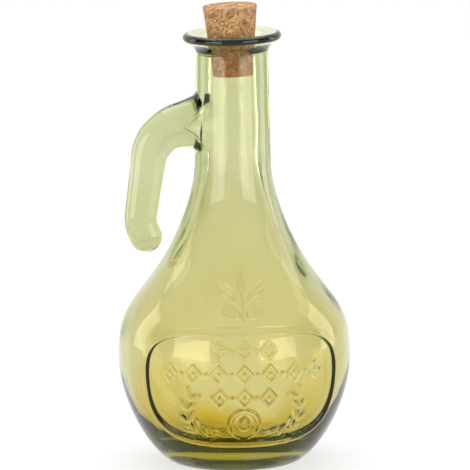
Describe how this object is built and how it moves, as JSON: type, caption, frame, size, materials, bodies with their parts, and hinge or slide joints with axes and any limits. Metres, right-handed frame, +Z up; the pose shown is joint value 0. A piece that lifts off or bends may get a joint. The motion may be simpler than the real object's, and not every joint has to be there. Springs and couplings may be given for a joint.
{
  "type": "glass olive oil bottle",
  "caption": "Round bottle of thick yellow-green glass with a flared lip, a solid hook handle, a raised label frame and a tapered cork stopper.",
  "frame": {"origin": "centre of the base, on the surface the bottle stands on", "axes": "+Z up along the bottle's axis; the label faces -Y; the handle is on the -X side"},
  "size_m": [0.1084, 0.1084, 0.216],
  "materials": {
    "glass": "smooth and clear, tinted yellow-green",
    "cork": "matt pressed cork granules"
  },
  "bodies": {
    "root": {"bottle": "glass", "cork": "cork"}
  },
  "joints": []
}
